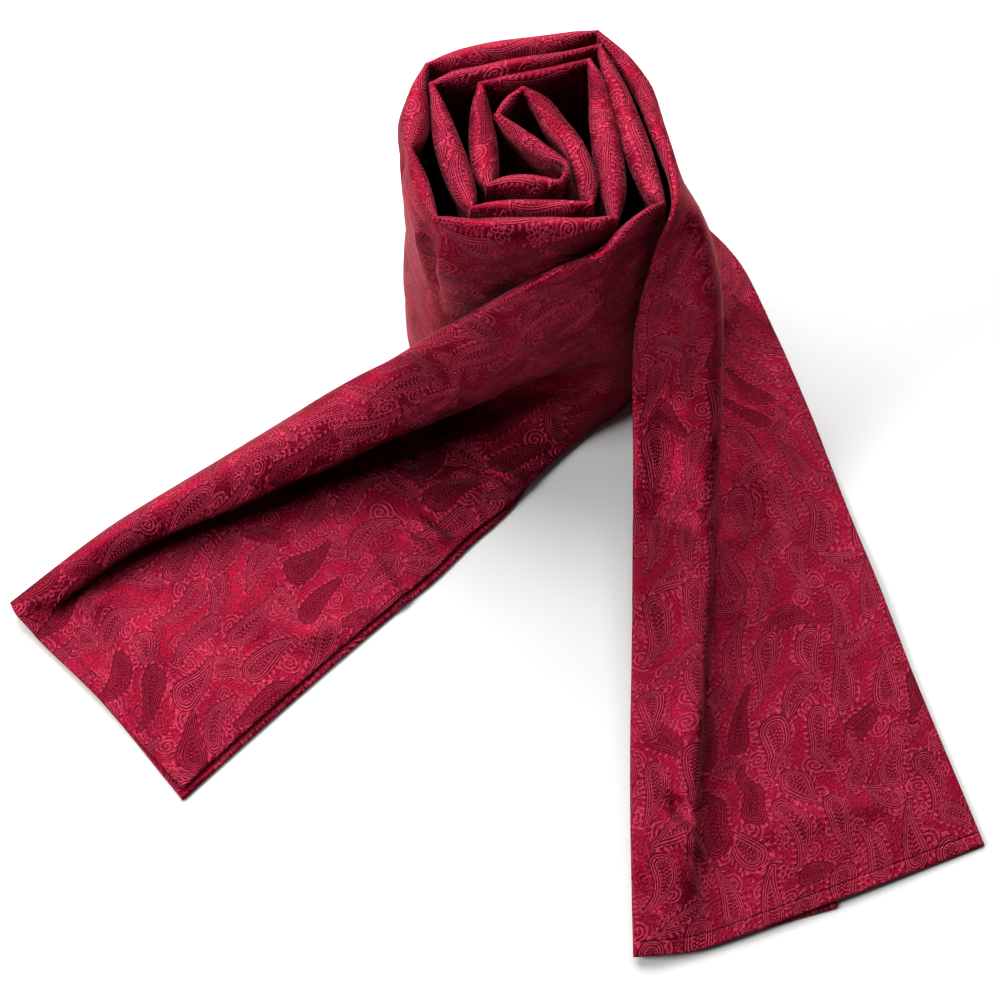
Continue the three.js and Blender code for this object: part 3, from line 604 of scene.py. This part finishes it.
# the figured weave, in millimetres of cloth: cells with a shift of the cloth before it is cut into them, motifs,
# and the threads that wind over the ground
figures = {
    "drift": (0.03, (9, 9, 0)),    # scale and reach of the slow wander of all the cells
    "cells": {
        "pair": ((0, 0, 0), {"Long": 36.0, "Wide": 31.0, "Tilt": 0.0, "Sway": 0.35}),
        "single": ((18, 0, 0), {"Long": 36.0, "Wide": 31.0, "Tilt": 1.25, "Sway": 0.8, "Seed": 3.0}),
        "fill": ((6.0, 5.2, 0), {"Long": 12.0, "Wide": 31.0 / 3, "Tilt": 0.3, "Sway": 4.0, "Seed": 7.0}),
    },
    "pair": {"apart": 7.4, "forward": 2.6, "lean": 0.14, "size": (0.14, 0.88), "curl": (4.0, 3.0),
             "radius": 3.9, "long": 21.0},
    "single": {"Radius": 3.5, "Long": 15.0, "Curl": 4.5},
    "bloom": 3.6,
    "petals": (3.0, 6.0),
    "scroll": 4.8,
    "scrollsFrom": 0.42,           # a filled cell has a scroll above this chance, and a bloom below it
    "darkFrom": 0.76,              # a motif is woven in the darker thread above this chance
    "patch": (0.055, 1.0),         # scale and detail of the noise that makes the weave richer and plainer
    "winding": (0.3, 1.0),         # the same for the winding threads, then their level and half width
    "windingLine": (0.5, 0.045),
    "windingPatch": (-0.40, 0.2),  # they fade out where the patch noise is low
    "windingShare": 0.7,
    "grain": (0.8, 1.5, 1),        # the fine weave, drawn out along the cloth
    "grainDetail": 1.5,
}

# one drop: the share of its length before the middle, how it bends and draws in, then lines by their distance
# from the outline and half width, and the counts of beads, net and strokes along it
drop = {
    "start": 0.42,
    "bend": 2.4,
    "drawIn": (1.8, 1.25),
    "lines": [(0.0, 0.42), (-1.0, 0.36), (0.95, 0.34)],
    "beads": (-1.75, 0.6),
    "heart": (-2.2, 0.3),
    "strokes": (2.5, 1.25),
    "beat": 3.9,
    "net": 2.9,
    "strokeBeat": (2.6, 0.9),
    "body": (2.9, 1.6),
}

# a bloom: its edge by the petals and as a share of its radius, its rim, ring and veins. A tendril: its line as a
# share of the step between turns, and how softly it ends
flower = {"edge": (0.18, 0.82), "rim": (0.0, 0.5), "ring": (1.1, 0.42), "veins": (-0.55, 0.35),
          "veinsTo": (0.0, 0.3), "veinsFrom": 1.2}
tendril = {"line": (0.5, 0.3), "end": (0.0, 0.4), "turnsOn": 8.0}


def makeCellGroup():
    # cuts the cloth into brick cells and gives each its own place, turned and flipped by its own chance
    tree, given, result = newGroup("motifCell", {"Cloth": (0, 0, 0), "Long": 36.0, "Wide": 15.5, "Shift": 0.5,
                                                 "Tilt": 0.0, "Sway": 0.4, "Seed": 0.0}, ["Place", "Random"])
    cloth = split(tree, given["Cloth"])
    rowValue = calc(tree, "DIVIDE", cloth[1], given["Wide"])
    row = calc(tree, "FLOOR", rowValue)
    odd = calc(tree, "FLOORED_MODULO", row, 2.0)
    columnValue = plus(tree, calc(tree, "DIVIDE", cloth[0], given["Long"]), times(tree, odd, given["Shift"]))
    column = calc(tree, "FLOOR", columnValue)
    x = times(tree, minus(tree, minus(tree, columnValue, column), 0.5), given["Long"])
    y = times(tree, minus(tree, minus(tree, rowValue, row), 0.5), given["Wide"])
    chance = fedNode(tree, "ShaderNodeTexWhiteNoise", {"Vector": join(tree, column, row, given["Seed"])},
                     noise_dimensions="3D").outputs["Color"]
    random = split(tree, chance)
    facing = minus(tree, 1.0, times(tree, odd, 2.0))
    handed = calc(tree, "SIGN", minus(tree, random[0], 0.5))
    sway = times(tree, minus(tree, random[1], 0.5), given["Sway"])
    feed(tree, result["Place"], turned(tree, join(tree, times(tree, x, facing), times(tree, y, handed)),
                                       plus(tree, given["Tilt"], sway)))
    feed(tree, result["Random"], chance)
    return tree


def makeDropGroup():
    # a bent teardrop: a half circle for its head, and sides that draw in to a curled tip, told as the distance
    # to the outline, with lines at set depths, a row of beads, a netted heart and a fringe of strokes
    tree, given, result = newGroup("paisleyDrop", {"Place": (0, 0, 0), "Radius": 4.6, "Long": 20.0, "Curl": 5.5},
                                   ["Lines", "Body"])
    place = split(tree, given["Place"])
    along = plus(tree, place[0], times(tree, given["Long"], drop["start"]))
    share = calc(tree, "MINIMUM", most(tree, calc(tree, "DIVIDE", along, given["Long"]), 0.0), 1.0)
    side = minus(tree, place[1], times(tree, calc(tree, "POWER", share, drop["bend"]), given["Curl"]))
    narrow, blunt = drop["drawIn"]
    width = times(tree, given["Radius"],
                  calc(tree, "POWER", minus(tree, 1.0, calc(tree, "POWER", share, narrow)), blunt))
    head = calc(tree, "MINIMUM", along, 0.0)
    past = most(tree, minus(tree, along, given["Long"]), 0.0)
    spread = plus(tree, times(tree, side, side), times(tree, head, head))
    spread = calc(tree, "SQRT", plus(tree, spread, times(tree, past, past)))
    off = minus(tree, spread, width)
    turn = calc(tree, "ARCTAN2", times(tree, head, -1.0), calc(tree, "ABSOLUTE", side))
    around = minus(tree, most(tree, along, 0.0), times(tree, given["Radius"], turn))
    beat = calc(tree, "COSINE", times(tree, around, drop["beat"]))
    beads = times(tree, near(tree, off, *drop["beads"]), above(tree, beat, 0.1, 0.5))
    net = times(tree, beat, calc(tree, "SINE", times(tree, side, drop["net"])))
    heart = times(tree, inside(tree, off, *drop["heart"]), above(tree, net, 0.0, 0.5))
    often, slant = drop["strokeBeat"]
    strokes = calc(tree, "COSINE", plus(tree, times(tree, around, often), times(tree, off, slant)))
    strokes = times(tree, above(tree, strokes, -0.1, 0.5), near(tree, off, *drop["strokes"]))
    rings = [near(tree, off, *line) for line in drop["lines"]]
    feed(tree, result["Lines"], most(tree, beads, heart, strokes, *rings))
    feed(tree, result["Body"], inside(tree, off, *drop["body"]))
    return tree


def makeBloomGroup():
    # a small open flower: petals told by the cosine of the angle, a ring and a dot in its middle
    tree, given, result = newGroup("smallBloom", {"Place": (0, 0, 0), "Radius": 3.2, "Petals": 7.0}, ["Lines"])
    place = split(tree, given["Place"])
    radius = radiusOf(tree, place)
    petal = calc(tree, "COSINE", times(tree, calc(tree, "ARCTAN2", place[1], place[0]), given["Petals"]))
    off = minus(tree, radius, times(tree, given["Radius"], calc(tree, "MULTIPLY_ADD", petal, *flower["edge"])))
    rim, ring = near(tree, off, *flower["rim"]), near(tree, radius, *flower["ring"])
    veins = times(tree, inside(tree, petal, *flower["veins"]), inside(tree, off, *flower["veinsTo"]),
                  calc(tree, "GREATER_THAN", radius, flower["veinsFrom"]))
    feed(tree, result["Lines"], most(tree, rim, ring, veins))
    return tree


def makeScrollGroup():
    # a curled tendril: a spiral line that ends at its own radius
    tree, given, result = newGroup("tendril", {"Place": (0, 0, 0), "Radius": 4.0, "Step": 1.7}, ["Lines"])
    place = split(tree, given["Place"])
    radius = radiusOf(tree, place)
    turn = calc(tree, "DIVIDE", calc(tree, "ARCTAN2", place[1], place[0]), 2 * math.pi)
    phase = plus(tree, minus(tree, calc(tree, "DIVIDE", radius, given["Step"]), turn), tendril["turnsOn"])
    line = near(tree, calc(tree, "FRACT", phase), *tendril["line"])
    kept = inside(tree, minus(tree, radius, given["Radius"]), *tendril["end"])
    feed(tree, result["Lines"], times(tree, line, kept))
    return tree


def makeSilkPattern():
    # the whole figured weave on the cloth's own millimetres: mirrored pairs of drops in brick cells, single
    # drops across the gaps, blooms and tendrils in what is left, and winding threads over the ground
    cellGroup, dropGroup = makeCellGroup(), makeDropGroup()
    bloomGroup, scrollGroup = makeBloomGroup(), makeScrollGroup()
    tree, given, result = newGroup("figuredSilk", {"Cloth": (0, 0, 0)}, ["Lines", "GapShade", "Dark", "Patch", "Weave"])
    scale, reach = figures["drift"]
    cloth = vectorSum(tree, clothNoise(tree, given["Cloth"], scale)["Color"], reach, given["Cloth"])
    place, chance = {}, {}
    for name, (shift, values) in figures["cells"].items():
        cell = placeGroup(tree, cellGroup, {"Cloth": vectorSum(tree, cloth, (1, 1, 1), shift), **values})
        place[name], chance[name] = cell["Place"], split(tree, cell["Random"])
    pair, style = split(tree, place["pair"]), figures["pair"]
    side = join(tree, plus(tree, pair[0], times(tree, calc(tree, "SIGN", pair[1]), style["forward"])),
                minus(tree, calc(tree, "ABSOLUTE", pair[1]), style["apart"]))
    size = calc(tree, "MULTIPLY_ADD", chance["pair"][2], *style["size"])
    pairDrop = placeGroup(tree, dropGroup, {
        "Place": turned(tree, side, style["lean"]), "Radius": times(tree, size, style["radius"]),
        "Long": times(tree, size, style["long"]),
        "Curl": calc(tree, "MULTIPLY_ADD", chance["pair"][1], *style["curl"])})
    oneDrop = placeGroup(tree, dropGroup, {"Place": place["single"], **figures["single"]})
    more, fewest = figures["petals"]
    petals = plus(tree, fewest, calc(tree, "ROUND", times(tree, chance["fill"][0], more)))
    bloom = placeGroup(tree, bloomGroup, {"Place": place["fill"], "Radius": figures["bloom"], "Petals": petals})
    scroll = placeGroup(tree, scrollGroup, {"Place": place["fill"], "Radius": figures["scroll"]})
    isScroll = calc(tree, "GREATER_THAN", chance["fill"][2], figures["scrollsFrom"])
    fill = mixed(tree, "FLOAT", isScroll, bloom["Lines"], scroll["Lines"])
    clearPair = minus(tree, 1.0, pairDrop["Body"])
    clearBoth = times(tree, clearPair, minus(tree, 1.0, oneDrop["Body"]))
    patch = clothNoise(tree, cloth, *figures["patch"])["Fac"]
    winding = near(tree, clothNoise(tree, cloth, *figures["winding"])["Fac"], *figures["windingLine"])
    winding = times(tree, winding, clearPair, above(tree, patch, *figures["windingPatch"]), figures["windingShare"])
    lines = most(tree, pairDrop["Lines"], times(tree, oneDrop["Lines"], clearPair), times(tree, fill, clearBoth),
                 winding)
    single = times(tree, oneDrop["Body"], clearPair)
    dark = [times(tree, body, calc(tree, "GREATER_THAN", pick, figures["darkFrom"])) for body, pick in (
        (pairDrop["Body"], chance["pair"][0]), (single, chance["single"][0]), (clearBoth, chance["fill"][1]))]
    grain = vectorSum(tree, given["Cloth"], figures["grain"], (0, 0, 0))
    feed(tree, result["Lines"], lines)
    # a motif's body between its lines is made darker: partly the motif's own darker body, partly painted shade between
    # the raised threads
    feed(tree, result["GapShade"], times(tree, most(tree, pairDrop["Body"], single), minus(tree, 1.0, lines)))
    feed(tree, result["Dark"], most(tree, *dark))
    feed(tree, result["Patch"], patch)
    feed(tree, result["Weave"], clothNoise(tree, grain, 1.0, figures["grainDetail"])["Fac"])
    return tree


# the finish: the satin ground, the raised figure, the darker thread, and between the threads partly painted shade
silk = {
    "ground": (0.18, 0.0032, 0.017, 1),
    "figure": (0.36, 0.026, 0.060, 1),
    "shadow": (0.25, 0.009, 0.030, 1),
    "roughness": (0.41, 0.58),         # of the ground and of the figure, and the same for metal
    "metal": (0.75, 0.72),
    "patchTone": (0.3, 0.7, 0.88, 1.1),
    "weaveTone": (0.35, 0.65, 0.74, 1.26),
    # the darkening between the threads is partly the motif's darker body and partly painted shade beside the raised
    # threads
    "gap": (0.18, 0.32),               # how much darker between the threads: more for dark motifs, and in all
    "relief": 0.00034,
    "weaveHeight": 0.7,
    "hem": (5.5, 0.7, 2.2),            # the stitched line's place from each hem, its half width and its depth
    "shader": {"Specular IOR Level": 0.25, "Specular Tint": (0.55, 0.10, 0.15, 1), "Sheen Weight": 0.12,
               "Sheen Roughness": 0.35, "Sheen Tint": (1, 0.45, 0.55, 1)},
}


def makeSilk(name, pattern):
    material = bpy.data.materials.new(name)
    material.use_nodes = True
    tree = material.node_tree
    shader = tree.nodes["Principled BSDF"]
    clothMap = addNode(tree, "ShaderNodeUVMap", uv_map="clothMap").outputs[0]
    figure = placeGroup(tree, pattern, {"Cloth": clothMap})
    thread = mixed(tree, "RGBA", figure["Dark"], silk["figure"], silk["shadow"])
    shade = mixed(tree, "RGBA", figure["Lines"], silk["ground"], thread)
    # painted shade between the raised threads, together with the motif's darker body: the base colour is darker in a
    # motif's gaps, more for dark motifs
    paintedGapShade = times(tree, figure["GapShade"], calc(tree, "MULTIPLY_ADD", figure["Dark"], *silk["gap"]))
    tone = times(tree, spanned(tree, figure["Patch"], silk["patchTone"]),
                 spanned(tree, figure["Weave"], silk["weaveTone"]), minus(tree, 1.0, paintedGapShade))
    feed(tree, shader.inputs["Base Color"], fedNode(tree, "ShaderNodeVectorMath", {"Vector": shade, "Scale": tone},
                                                    operation="SCALE").outputs[0])
    feed(tree, shader.inputs["Roughness"], spanned(tree, figure["Lines"], (0.0, 1.0, *silk["roughness"])))
    feed(tree, shader.inputs["Metallic"], spanned(tree, figure["Lines"], (0.0, 1.0, *silk["metal"])))
    along = split(tree, clothMap)[0]
    fromHem, halfWidth, depth = silk["hem"]
    hems = most(tree, *(near(tree, along, at, halfWidth) for at in (fromHem, leftStrand["hemAt"] - fromHem)))
    height = plus(tree, figure["Lines"], times(tree, figure["Weave"], silk["weaveHeight"]))
    height = minus(tree, height, times(tree, hems, depth))
    bump = fedNode(tree, "ShaderNodeBump", {"Strength": 1.0, "Distance": silk["relief"], "Height": height})
    feed(tree, shader.inputs["Normal"], bump.outputs[0])
    for label, value in silk["shader"].items():
        shader.inputs[label].default_value = value
    return material


silkFace = makeSilk("figuredSatin", makeSilkPattern())
pieces = {
    coilCloth: ["wind_outer_back", "wind_outer_left_back", "wind_outer_left_front", "wind_outer_front",
                "wind_middle_right", "wind_middle_back", "wind_middle_left", "wind_inner_front", "wind_inner_hook",
                "wind_inner_diagonal", "wind_heart", "wind_second_inner_right", "wind_second_front",
                "wind_second_left", "wind_second_back", "wind_second_right"],
    rightTop: ["wind_outer_right", "tail_right_top"],
    leftTop: ["tail_left_top"],
    rightLower: ["tail_right_under"],
    leftLower: ["tail_left_under"],
}
for piece, nodes in pieces.items():
    piece.data.materials.append(silkFace)
    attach(piece, "root")
    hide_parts(*nodes)
print("silk placed")


# the studio: a plain pale floor, wide soft lamps (name, place, aim, size and watts), and the camera at the
# photograph's angle
studio = {
    "floor": (0.74, 0.74, 0.74, 1),
    "floorRough": 0.9,
    "reach": 4.0,              # half the floor's side
    "below": 0.0002,
    "world": 0.04,
    "lamps": [
        ("backPanel", (-0.4, 1.75, 0.95), (0.0, 0.0, 0.05), 1.5, 58),
        ("leftLamp", (-1.95, -0.35, 1.15), (0.0, 0.0, 0.05), 0.9, 60),
        ("backLeftLamp", (-0.80, 0.83, 1.11), (0.0, 0.0, 0.05), 0.6, 11),
        ("topLamp", (0.14, 0.72, 1.45), (0.0, 0.0, 0.05), 0.7, 6),
        ("rightLamp", (0.90, 0.85, 1.0), (0.0, 0.0, 0.05), 0.7, 7),
    ],
    "camera": (0.00632, -0.49665, 0.9023),
    "pitch": 30,
    "lens": 86.4,
}


def addLamp(name, place, aim, size, power):
    lamp = bpy.data.lights.new(name, "AREA")
    lamp.size = size
    lamp.energy = power
    holder = bpy.data.objects.new(name, lamp)
    holder.location = place
    towards = np.array(aim) - np.array(place)
    flat = math.hypot(towards[0], towards[1])
    holder.rotation_euler = (math.atan2(flat, -towards[2]), 0, math.atan2(-towards[0], towards[1]))
    bpy.context.scene.collection.objects.link(holder)


def makeStudio():
    mesh = bpy.data.meshes.new("studioFloor")
    far, low = studio["reach"], -studio["below"]
    mesh.from_pydata([(-far, -far, low), (far, -far, low), (far, far, low), (-far, far, low)], [], [(0, 1, 2, 3)])
    floor = bpy.data.objects.new("studioFloor", mesh)
    bpy.context.scene.collection.objects.link(floor)
    paper = bpy.data.materials.new("palePaper")
    paper.use_nodes = True
    surface = paper.node_tree.nodes["Principled BSDF"].inputs
    surface["Base Color"].default_value = studio["floor"]
    surface["Roughness"].default_value = studio["floorRough"]
    mesh.materials.append(paper)
    for lamp in studio["lamps"]:
        addLamp(*lamp)
    world = bpy.data.worlds.new("studioAir")
    world.use_nodes = True
    air = world.node_tree.nodes["Background"].inputs
    air["Color"].default_value = (1, 1, 1, 1)
    air["Strength"].default_value = studio["world"]
    bpy.context.scene.world = world
    lens = bpy.data.cameras.new("photoCamera")
    lens.lens = studio["lens"]
    lens.sensor_width = 36
    camera = bpy.data.objects.new("photoCamera", lens)
    camera.location = studio["camera"]
    camera.rotation_euler = (math.radians(studio["pitch"]), 0, 0)
    bpy.context.scene.collection.objects.link(camera)
    bpy.context.scene.camera = camera


makeStudio()
bpy.context.scene.view_settings.view_transform = "Standard"
print("studio placed")
